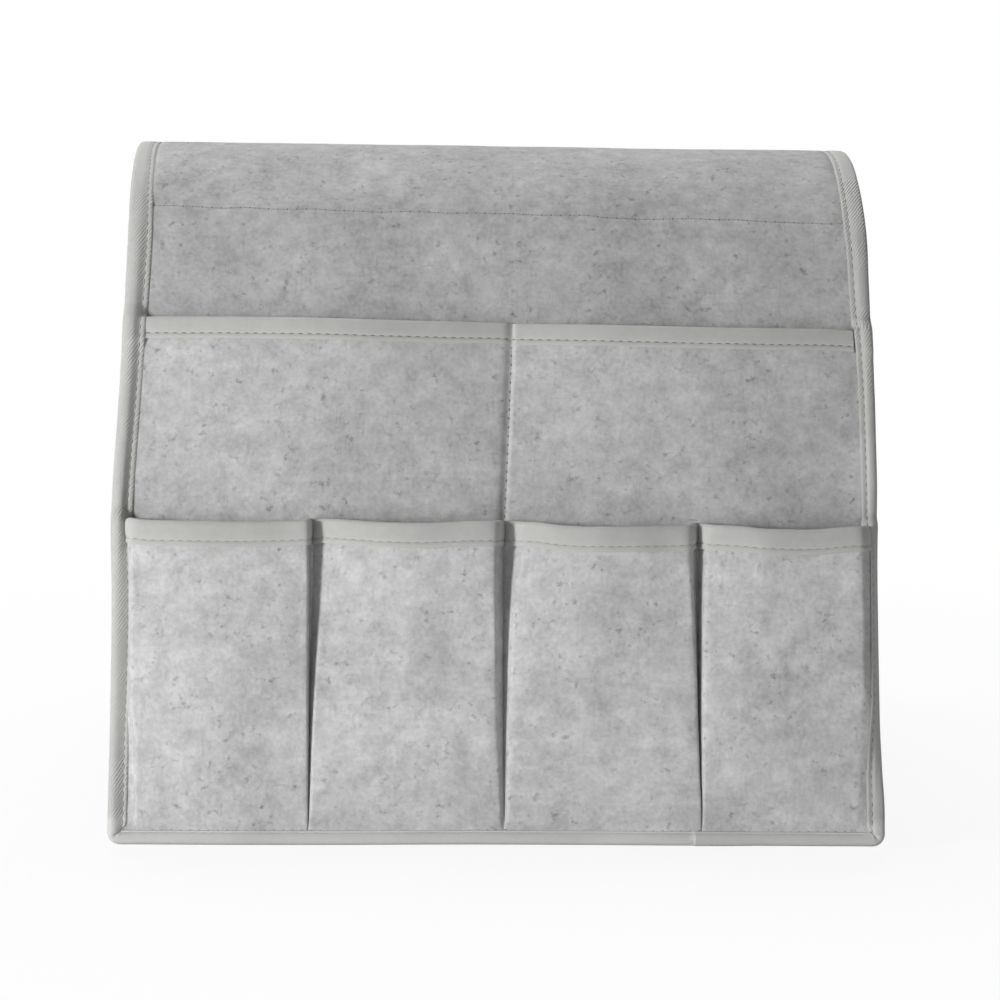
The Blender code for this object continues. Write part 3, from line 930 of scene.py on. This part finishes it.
def pocket_row(number, s):
    """Plan of one lower pocket at s: columns of x, d and run, from its left foot to its right."""
    foot = float(lower_foot(s))
    curves = (FOLD_LEFT, FOLD_RIGHT, FALL, CLIMB)
    fold_left, fold_right, fall, climb = (float(curve[number](s)) for curve in curves)
    start = under_binding(-1, s) if number == 0 else (VALLEY_X[number - 1], foot)
    end = under_binding(1, s) if number == 3 else (VALLEY_X[number], foot)
    width = fold_right - fold_left
    ridge = RIDGE[number]
    part = np.linspace(0, 1, FACE_PLACES)
    before = width * climb * ridge * (1 - np.minimum(part / ridge, 1)) ** 2 / 2
    after = width * fall * (1 - ridge - np.maximum(part - ridge, 0))
    face = foot + MM * float(RISE(s)) + after - before
    x = np.concatenate([[start[0]], fold_left + width * part, [end[0]]])
    d = np.concatenate([[start[1]], face, [end[1]]])
    if number == 0:
        # Low down, this side stands up straight just left of its fold
        low = 1 - ease(s, 0.025, 0.075)
        x[0] = start[0] * (1 - low) + (fold_left - 0.0008) * low
        d[0] = start[1] + 0.1 * low * (face[0] - foot)
        x = np.concatenate([[start[0]], x])
        d = np.concatenate([[start[1]], d])
    run = run_of(np.stack([x, d], 1))
    face_start = run[2] if number == 0 else run[1]
    even = np.linspace(0, run[-1], DENSE)
    share = ease(even / run[-1], 0.35, 0.65)
    soft = np.zeros((2, DENSE))
    for softness, weight in ((LEFT_SOFTNESS, 1 - share), (RIGHT_SOFTNESS, share)):
        reach = MM * float(softness(s)) / even[1]
        soft += [weight * smoothed(np.interp(even, run, line), reach) for line in (x, d)]
    toward = np.linspace(0, 1, GUSSET_STEPS + 1)
    over = np.linspace(0, 1, FACE_STEPS + 1)
    over = over - 0.10 * np.sin(2 * math.pi * over)
    wanted = np.concatenate([
        face_start * toward[:-1],
        face_start + (run[-2] - face_start) * over,
        run[-2] + (run[-1] - run[-2]) * toward[1:],
    ])
    return np.stack([*(np.interp(wanted, even, line) for line in soft), wanted])


TABLE_STEP = 0.0005
TABLE_S = np.arange(0.0, 0.13951, TABLE_STEP)


def lower_table():
    """The lower pocket felt's whole plan for each step of s: rows of x, d and run."""
    table = []
    for s in TABLE_S:
        foot, edge = float(lower_foot(s)), float(felt_half(s))
        pieces = [np.array([[-edge], [foot], [0.0]])]
        run = edge - abs(under_binding(-1, s)[0])
        for number in range(4):
            row = pocket_row(number, s)
            row[2] += run
            run = row[2, -1]
            pieces.append(row[:, min(number, 1):])
        pieces.append(np.array([[edge], [foot], [run + edge - row[0, -1]]]))
        table.append(np.concatenate(pieces, 1))
    return np.stack(table)


LOWER_TABLE = lower_table()
LOWER_COLUMNS = LOWER_TABLE.shape[2]


def lower_share():
    """How far each column of the lower felt is from the nearest valley: 0 there, 1 mid pocket."""
    part = np.linspace(0, 1, POCKET_STEPS + 1)
    held = 0.35
    share = [held]
    for number in range(4):
        own = np.sin(math.pi * part)
        if number in (0, 3):
            side = part < 0.5 if number == 0 else part > 0.5
            own[side] = held + (1 - held) * own[side]
        share += list(own[min(number, 1):])
    return np.array(share + [held])


LOWER_SHARE = lower_share()

# s in mm of each lower pocket's mouth from its left side to its right: the gathered mouth sags in
# the middle and climbs to the seams
LOWER_MOUTH = (
    spline(
        (0, 136.9), (0.075, 136.1), (0.15, 135.1), (0.2, 134.8), (0.31, 134.05), (0.375, 133.85),
        (0.45, 133.75), (0.525, 133.75), (0.6, 134.05), (0.675, 134.45), (0.75, 134.75),
        (0.85, 135.2), (1, 137.3),
    ),
    *splines(
        (0, 0.075, 0.15, 0.2, 0.26, 0.31, 0.375, 0.45, 0.525, 0.6, 0.675, 0.75, 0.85, 1),
        (137.3, 136.8, 136.6, 136.45, 136.15, 135.75, 135.0,
         134.1, 133.85, 134.5, 135.05, 135.25, 135.5, 137.5),
        (137.5, 136.6, 135.65, 135.45, 135.1, 134.5, 133.5,
         132.85, 133.0, 133.45, 133.95, 134.2, 134.85, 137.3),
        (137.3, 136.45, 135.25, 135.0, 134.75, 134.5, 133.9,
         132.9, 132.85, 133.2, 134.2, 134.75, 135.05, 136.5),
    ),
)


def lower_mouth():
    """s of the lower mouth at each column of the felt."""
    part = np.linspace(0, 1, POCKET_STEPS + 1)
    line = [136.8]
    for number, mouth in enumerate(LOWER_MOUTH):
        line += list(mouth(part)[min(number, 1):])
    return MM * np.array(line + [136.6])


def lower_surface(s):
    """x, d and outward direction (in plan) of the lower felt's outer face, for s per column."""
    place = np.clip(s, 0.0, TABLE_S[-1]) / TABLE_STEP
    low = np.clip(place.astype(int), 0, len(TABLE_S) - 2)
    part = (place - low)[:, None]
    column = np.arange(LOWER_COLUMNS)
    plan = LOWER_TABLE[low, :2, column] * (1 - part) + LOWER_TABLE[low + 1, :2, column] * part
    x, d = plan.T
    along = unit(np.gradient(plan, axis=0))
    normal_x, normal_d = -along[:, 1], along[:, 0]
    relief = np.zeros_like(x)
    for at_x, at_s, reach_x, reach_s, depth in DENTS:
        off = ((x / MM - at_x) / reach_x) ** 2 + ((s / MM - at_s) / reach_s) ** 2
        relief -= depth * np.exp(-off)
    free = ease(LOWER_SHARE, 0.25, 0.7) * ease(s, 0.012, 0.035)
    relief += free * (0.38 * LOWER_SOFT(x, s) + 0.10 * LOWER_FINE(x, s))
    relief *= MM * free ** 0.3
    return x + normal_x * relief, d + normal_d * relief, normal_x, normal_d


# s of the row whose run across lays out the lower felt's cloth
FLAT_S = 0.100


def lower_pocket():
    marks = rows_with([(LOWER_MOUTH_S, 0.016)], 0.0012, 0.0030, START_S, LOWER_MOUTH_S)
    flat_x = LOWER_TABLE[int(FLAT_S / TABLE_STEP), 2]
    outer, inner, uv = [], [], []
    for mark in marks:
        s = mark / LOWER_MOUTH_S * lower_mouth()
        x, d, normal_x, normal_d = lower_surface(s)
        edge = felt_half(s)
        inner_x = x - normal_x * POCKET_FELT
        inner_d = np.maximum(d - normal_d * POCKET_FELT, lower_foot(s) - POCKET_FELT)
        outer.append(drape(np.clip(x, -edge, edge), s, d))
        inner.append(drape(np.clip(inner_x, -edge, edge), s, inner_d))
        uv.append(np.stack([flat_x + LOWER_UV[0], s + LOWER_UV[1]], -1))
    return sheet_piece("lower_pocket", *map(np.array, (outer, inner, uv)), LOWER_FELT_PAINTED_LIGHT)


# Tapes

MOUTH_PARTS = (1, 1, 1, 1, 1, 1, 2, 2, 2, 1, 2, 1, 1, 2, 2)
# How far a mouth tape's inner skin stands above the felt's edge
MOUTH_RISE = 0.55 * MM
# Ends of the upper mouth's tape, under the binding
UPPER_TAPE_LEFT, UPPER_TAPE_RIGHT = -0.1580, 0.1592


def mouth_section(width):
    """Section of a mouth tape as (depth below its fold, height over the felt's outer face)."""
    w = width / MM
    t = POCKET_FELT / MM
    return MM * folded_section(softened([
        (w, 0.34), (w - 0.35, 0.60), (w - 1.2, 0.62), (w - 1.7, 0.52), (w - 2.1, 0.36),
        (w - 2.5, 0.52), (w - 3.4, 0.72), (w - 5.0, 0.86), (2.6, 0.86), (1.2, 0.74), (0.45, 0.40),
        (0.0, -t / 2), (0.45, -t - 0.45), (1.2, -t - 0.62), (3.5, -t - 0.62),
        (w - 0.6, -t - 0.62),
    ], MOUTH_PARTS))


def upper_mouth_tape():
    columns = upper_columns()
    x = columns * HALF
    columns = columns[(x > UPPER_TAPE_LEFT) & (x < UPPER_TAPE_RIGHT)]
    lines = []
    for depth, height in mouth_section(UPPER_TAPE):
        x = upper_place(columns, UPPER_MOUTH_S + 0 * columns)
        s = upper_mouth(x) + MOUTH_RISE - depth
        x = upper_place(columns, s)
        top = upper_height(x, np.minimum(s, upper_mouth(x)))
        lines.append(drape(x, s, top + height))
    return tape_piece("upper_mouth_tape", np.stack(lines, 1), TAPE_FACE)


def lower_mouth_tape():
    edge = lower_mouth()
    pinch = 1 - 0.45 * np.exp(-((LOWER_SHARE / 0.10) ** 2))
    lines = []
    for depth, height in mouth_section(LOWER_TAPE):
        s = edge + MOUTH_RISE - depth
        x, d, normal_x, normal_d = lower_surface(np.minimum(s, edge))
        off = height * pinch
        lines.append(drape(x + normal_x * off, s, d + normal_d * off)[1:-1])
    return tape_piece("lower_mouth_tape", np.stack(lines, 1), TAPE_FACE)


# Where the tape's end overlaps its start on the front hem, and how much it stands off there
TAPE_JOIN = 0.0832
OVERLAP = 0.45 * MM
# Depth of the mitre's fold at a corner and how far round it reaches, and the corner's rings
MITRE_DEPTH, MITRE_SPREAD = 0.8 * MM, 0.34
CORNER_RINGS = 11


def hem_section(front):
    top = float(layers_top(0.0, front))
    if front:
        return binding_section(HEM_FLANGE, top, 2.0, 0.6, 0.5)
    return binding_section(BACK_HEM_FLANGE, top, 2.0, 0.9)


def corner_place(side, angle, depth, d):
    """Layout place round the hem's rounded corner, where the tape is folded to a mitre."""
    radius = max(CORNER_RADIUS - depth, 0.0008)
    x = side * (HALF - depth - radius + radius * math.cos(angle))
    fold = MITRE_DEPTH * math.exp(-(((angle - math.pi / 4) / MITRE_SPREAD) ** 2))
    s = depth + radius * (1 - math.sin(angle))
    return x, s, d - fold * float(ease(depth, 0.0006, 0.0036))


def binding_side(side, front):
    """Rings of layout places from the top's middle down one side and round its corner."""
    marks = [(UPPER_MOUTH_S, 0.010), (LOWER_MOUTH_S, 0.012)]
    rings = [
        [(side * (HALF - depth), s, d) for depth, d in side_section(side, s, front)]
        for s in rows_with(marks, 0.0012, 0.0030, 2 * CORNER_RADIUS, TOP_S)[::-1]
    ]
    last, hem = side_section(side, 2 * CORNER_RADIUS, front), hem_section(front)
    for angle in np.linspace(0, math.pi / 2, CORNER_RINGS):
        part = angle / (math.pi / 2)
        section = last * (1 - part) + hem * part
        rings.append([corner_place(side, angle, depth, d) for depth, d in section])
    return rings


def edge_binding(name, front):
    """The tape from the top's middle down the left side, round the hem and up the right side."""
    layout = binding_side(-1, front)
    reach = HALF - 2 * CORNER_RADIUS
    places = [*np.arange(-reach, reach + 1e-6, 0.0031)]
    for x in sorted(places + [TAPE_JOIN, TAPE_JOIN + 0.0004, TAPE_JOIN + 0.0010]):
        over = 0.0
        if front and x > TAPE_JOIN + 0.0002:
            over = OVERLAP * (1 - ease(x, TAPE_JOIN + 0.010, TAPE_JOIN + 0.030))
        layout.append([
            (x, depth - 0.3 * over * (depth < 0.002), d + over * (d > 0.001))
            for depth, d in hem_section(front)
        ])
    x, s, d = np.moveaxis(np.array(layout + binding_side(1, front)[::-1]), -1, 0)
    return tape_piece(name, drape(x, s if front else STRIP_LENGTH - s, d), BINDING_FACE)


# The anti-slip lining under the saddle

LINING_HALF = 0.1553
LINING_START = CREASE_S + 0.0012
LINING_GAP = 0.0001
LINING_COLUMNS, LINING_ROWS = 61, 81
DOT_PITCH = 0.0115
DOT_RADIUS, DOT_HEIGHT, DOT_SINK = 0.0017, 0.00055, 0.0002
DOT_SIDES = 10
# Rings of a dot as shares of its radius and of its height
DOT_RINGS = ((1.0, 0.0), (0.92, 0.35), (0.62, 0.72))


def lining_piece():
    columns = np.linspace(-LINING_HALF, LINING_HALF, LINING_COLUMNS)
    rows = np.linspace(LINING_START, STRIP_LENGTH - LINING_START, LINING_ROWS)
    x, s = np.meshgrid(columns, rows)
    outer = drape(x, s, -FELT - LINING_GAP)
    inner = drape(x, s, -LINING_DEPTH)
    return sheet_piece("grip_lining", outer, inner, np.stack([x, s], -1), lining_material())


def grip_dots():
    """Rows of small rubber domes, every second row shifted by half a pitch."""
    points, faces, uv = [], [], []
    turn = 2 * math.pi * np.arange(DOT_SIDES) / DOT_SIDES
    rows = np.arange(CREASE_S + 0.010, STRIP_LENGTH - CREASE_S - 0.008, 0.866 * DOT_PITCH)
    for row, s in enumerate(rows):
        for x in np.arange(-0.148 + 0.5 * DOT_PITCH * (row % 2), 0.149, DOT_PITCH):
            start = len(points)
            for share, up in DOT_RINGS:
                ring_x = x + DOT_RADIUS * share * np.cos(turn)
                ring_s = s + DOT_RADIUS * share * np.sin(turn)
                points += [*drape(ring_x, ring_s, DOT_SINK - LINING_DEPTH - DOT_HEIGHT * up)]
                uv += zip(ring_x, ring_s)
            tip = len(points)
            points.append(drape(x, s, DOT_SINK - LINING_DEPTH - DOT_HEIGHT))
            uv.append((x, s))
            faces += tube_faces(len(DOT_RINGS), DOT_SIDES, start)
            last = tip - DOT_SIDES
            for side in range(DOT_SIDES):
                faces.append((last + side, last + (side + 1) % DOT_SIDES, tip))
            faces.append(tuple(range(start + DOT_SIDES - 1, start - 1, -1)))
    return make_mesh("grip_dots", points, faces, uv, [dot_material()], 80)


# Stitches

BEAD_SIDES = 6
# How wide a stitch and a needle hole's dark bead of painted shade are along their length, as shares
# of their full width, how wide a hole is to its stitch, and how far it stands off the cloth
STITCH_SHAPE = np.array([0.35, 0.95, 1.0, 0.95, 0.35])
HOLE_SHAPE = np.array([0.5, 1.0, 0.5])
HOLE_WIDTH = 1.4
HOLE_LIFT = 0.00006
# Points that the normals of the front's and the back's stitches face
EYE = (-0.045, -1.2, 0.1)
ABOVE_BACK = (0.0, 1.2, 0.3)


def along_line(points, normals, place):
    """Points of a line, and its unit normals, at places along it."""
    run = run_of(points)
    at, up = (
        np.stack([np.interp(place, run, column) for column in row.T], -1)
        for row in (points, normals)
    )
    return at, unit(up)


def bead(points, faces, uv, kinds, path, ups, widths, heights, kind):
    """Adds a slim closed bead along a short path to the lists of one mesh."""
    start = len(points)
    turn = 2 * math.pi * np.arange(BEAD_SIDES) / BEAD_SIDES
    across = np.cross(unit(np.gradient(path, axis=0)), ups)
    for step, middle in enumerate(path):
        wide = np.outer(np.cos(turn) * widths[step], across[step])
        high = np.outer(np.sin(turn) * heights[step], ups[step])
        points += [*(middle + wide + high)]
        uv += [(0.001 * step, angle * 0.0003) for angle in turn]
    last = len(points) - BEAD_SIDES
    added = tube_faces(len(path), BEAD_SIDES, start)
    added += [range(start, start + BEAD_SIDES), range(last, last + BEAD_SIDES)]
    faces += added
    kinds += [kind] * len(added)


def stitch_row(
    name, line, thread, pitch=STITCH_PITCH, length=0.0022, width=0.00040, sink=0.00008, prick=0.0,
):
    """Stitches along a line of (points, normals), with dark beads of painted shade for the needle
    holes between them if prick.
    """
    points, faces, uv, kinds = lists = [], [], [], []
    whole = run_of(line[0])[-1]
    count = int(whole / pitch)
    step = whole / count
    bulge, hole = width * STITCH_SHAPE, HOLE_WIDTH * width * HOLE_SHAPE
    for number in range(count):
        start = number * step + (step - length) / 2
        at, up = along_line(*line, np.linspace(start, start + length, len(bulge)))
        bead(*lists, at - up * sink, up, bulge, 0.8 * bulge, 0)
        if prick:
            # A needle hole is a dark bead: painted shade
            middle = (number + 1) * step
            at, up = along_line(*line, np.linspace(middle - prick, middle + prick, len(hole)))
            bead(*lists, at + up * HOLE_LIFT, up, hole, 0.35 * hole, 1)
    piece = make_mesh(name, points, faces, uv, [thread, NEEDLE_HOLE_PAINTED_SHADE], 60)
    piece.data.polygons.foreach_set("material_index", kinds)
    return piece


def stitch_line(rings, toward):
    """The groove of a tape's stitches, with normals that face the point toward in the middle."""
    groove = rings.shape[1] - 1 - STITCH_POINT
    line = rings[:, groove]
    across = rings[:, groove + 1] - rings[:, groove - 1]
    normals = unit(np.cross(np.gradient(line, axis=0), across))
    middle = len(line) // 2
    if np.dot(normals[middle], np.array(toward) - line[middle]) < 0:
        normals = -normals
    return line, normals


def surface_line(x, s, d):
    """A line on the felt with its outward normals."""
    line = drape(x, s, d)
    return line, unit(drape(x, s, d + MM) - line)


def crease_stitches(name, front):
    x = np.linspace(-0.1540, 0.1540, 160)
    s = crease_line(x, CREASE_S + 0 * x)
    line = surface_line(x, s if front else STRIP_LENGTH - s, crease_groove(CREASE_S) + 0.00002)
    return stitch_row(name, line, GREY_THREAD_PAINTED_SHADE, 0.0042, 0.0034, 0.00030, prick=0.0003)


def middle_seam_stitches():
    s = np.linspace(LOWER_MOUTH_S + 0.002, UPPER_MOUTH_S - UPPER_TAPE - 0.0005, 90)
    x = seam_x(s)
    line = surface_line(x, s, upper_height(x, s))
    return stitch_row(
        "middle_seam_stitches", line, GREY_THREAD_PAINTED_SHADE, length=0.0025, width=0.00028, prick=0.0007,
    )


def hem_stitch_row():
    """The hem's stitches, which bite into the felt just above the tape."""
    x = np.linspace(-0.148, 0.150, 400)
    s = (HEM_FLANGE + 0.55) * MM + 0 * x
    line = surface_line(x, s, lower_foot(s) + 0.0001)
    return stitch_row("hem_stitches", line, GREY_THREAD_PAINTED_SHADE, length=0.0018, width=0.00046, sink=0.0)


# Build the pieces

felt_front = strip_half("felt_front", True)
felt_back = strip_half("felt_back", False)
upper_felt = upper_pocket()
lower_felt = lower_pocket()
upper_tape, upper_rings = upper_mouth_tape()
lower_tape, lower_rings = lower_mouth_tape()
binding_front, front_rings = edge_binding("binding_front", True)
binding_back, back_rings = edge_binding("binding_back", False)
lining = lining_piece()
dots = grip_dots()
upper_stitches, lower_stitches, front_stitches, back_stitches = (
    stitch_row(name, stitch_line(rings, toward), thread, width=width)
    for name, rings, toward, thread, width in (
        ("upper_mouth_stitches", upper_rings, EYE, TAPE_THREAD_PAINTED_SHADE, 0.00040),
        ("lower_mouth_stitches", lower_rings, EYE, BINDING_THREAD_PAINTED_SHADE, 0.00034),
        ("binding_stitches_front", front_rings, EYE, BINDING_THREAD_PAINTED_SHADE, 0.00030),
        ("binding_stitches_back", back_rings, ABOVE_BACK, BINDING_THREAD_PAINTED_SHADE, 0.00030),
    )
)
crease_front = crease_stitches("crease_stitches_front", True)
crease_back = crease_stitches("crease_stitches_back", False)
seam_stitches = middle_seam_stitches()
hem_stitches = hem_stitch_row()


# What each piece rides on, and the parts it replaces

for piece in (felt_front, binding_front, front_stitches, crease_front, hem_stitches):
    blended(piece, True)
for piece in (felt_back, binding_back, back_stitches, crease_back):
    blended(piece, False)
for piece in (
    upper_felt, lower_felt, upper_tape, lower_tape, upper_stitches, lower_stitches, seam_stitches,
):
    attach(piece, "front_flap")
for piece in (lining, dots):
    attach(piece, "saddle")

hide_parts("front_panel_felt", "saddle_felt")
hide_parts("back_panel_felt")
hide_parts("front_edge_binding", "saddle_binding_left")
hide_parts("back_edge_binding", "saddle_binding_right")
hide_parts("upper_pocket_felt")
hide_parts("lower_pocket_felt")
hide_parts("upper_pocket_tape")
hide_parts("lower_pocket_tape")
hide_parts("saddle_grip_lining")


# Camera, floor and light

CAMERA_PLACE = (-0.04484, -1.19866, -0.01582)
CAMERA_YAW = 0.04361
CAMERA_PITCH = 0.12818
CAMERA_ROLL = 0.0176
CAMERA_LENS = 87.035

FLOOR_Z = -0.2955
FLOOR_SIZE = 40.0
# How much of the shadow on the floor the camera sees, and how far from the object it fades out
FLOOR_SHADE = 0.09
SHADE_NEAR, SHADE_FAR = 0.40, 0.80
# The point at which the lamps aim
AIM = (0.0, -0.15, -0.12)
WHITE = (1.0, 1.0, 1.0, 1.0)


def add_camera():
    data = bpy.data.cameras.new("camera")
    data.lens = CAMERA_LENS
    data.sensor_width = 36.0
    data.clip_end = 100.0
    camera = bpy.data.objects.new("camera", data)
    camera.matrix_world = (
        Matrix.Translation(CAMERA_PLACE)
        @ Matrix.Rotation(-CAMERA_YAW, 4, "Z")
        @ Matrix.Rotation(math.pi / 2 - CAMERA_PITCH, 4, "X")
        @ Matrix.Rotation(CAMERA_ROLL, 4, "Z")
    )
    bpy.context.scene.collection.objects.link(camera)
    bpy.context.scene.camera = camera


def add_light(name, place, size, power):
    data = bpy.data.lights.new(name, "AREA")
    data.shape = "RECTANGLE"
    data.size, data.size_y = size
    data.energy = power
    light = bpy.data.objects.new(name, data)
    turn = (Vector(place) - Vector(AIM)).to_track_quat("Z", "Y")
    light.matrix_world = Matrix.Translation(place) @ turn.to_matrix().to_4x4()
    bpy.context.scene.collection.objects.link(light)


def seen_by(nodes, *rays):
    """1 for these kinds of ray, which see a white background, and 0 for the others."""
    seen = 0.0
    for ray in rays:
        seen = nodes.math("MAXIMUM", nodes.node("LightPath", "Is %s Ray" % ray, {}), seen)
    return seen


def mixed(nodes, output, factor, first, second):
    """Joins a mix of two shaders to the material's or the world's output."""
    mix = nodes.node("MixShader", 0, {0: factor, 1: first, 2: second})
    nodes.feed(nodes.tree.nodes[output].inputs["Surface"], mix)


def add_floor():
    """A pale floor, which the camera sees as white with part of the shadow on it."""
    corners = [
        (x * FLOOR_SIZE, y * FLOOR_SIZE, 0.0) for x, y in ((-1, -1), (1, -1), (1, 1), (-1, 1))
    ]
    mesh = bpy.data.meshes.new("floor")
    mesh.from_pydata(corners, [], [(0, 1, 2, 3)])
    floor = bpy.data.objects.new("floor", mesh)
    floor.location = (0.0, 0.0, FLOOR_Z)
    bpy.context.scene.collection.objects.link(floor)
    nodes = Nodes(bpy.data.materials.new("floor"))
    shaded = nodes.shade({
        "Base Color": (0.86, 0.86, 0.86, 1.0), "Roughness": 0.9, "Specular IOR Level": 0.1,
    })
    place = nodes.node("NewGeometry", "Position", {})
    away = nodes.node("VectorMath", "Value", {0: place}, operation="LENGTH")
    near = nodes.ranged(away, SHADE_NEAR, SHADE_FAR, 1.0, 0.0)
    white = nodes.math("MULTIPLY_ADD", near, -FLOOR_SHADE, 1.0)
    white = nodes.math("MULTIPLY", seen_by(nodes, "Camera", "Glossy", "Transmission"), white)
    glow = nodes.node("Emission", 0, {"Strength": 1.0})
    mixed(nodes, "Material Output", white, shaded, glow)
    mesh.materials.append(nodes.owner)


def set_world(strength):
    """Even light of this strength, which the camera and reflections see as white."""
    world = bpy.data.worlds.new("studio")
    bpy.context.scene.world = world
    nodes = Nodes(world)
    background = nodes.tree.nodes["Background"]
    background.inputs["Color"].default_value = WHITE
    background.inputs["Strength"].default_value = strength
    white = nodes.node("Background", 0, {"Color": WHITE, "Strength": 1.0})
    seen = seen_by(nodes, "Camera", "Glossy")
    mixed(nodes, "World Output", seen, background.outputs[0], white)


add_camera()
add_floor()
set_world(0.02)
# Place, size and power of each lamp, in metres and watts
add_light("key_left", (-1.46, -1.20, 0.10), (0.36, 0.36), 28.5)
add_light("front", (0.15, -1.6, -0.15), (1.4, 0.5), 5.0)
add_light("top_back", (-0.2, 0.75, 1.6), (1.6, 1.0), 38.0)

bpy.context.scene.view_settings.view_transform = "Standard"
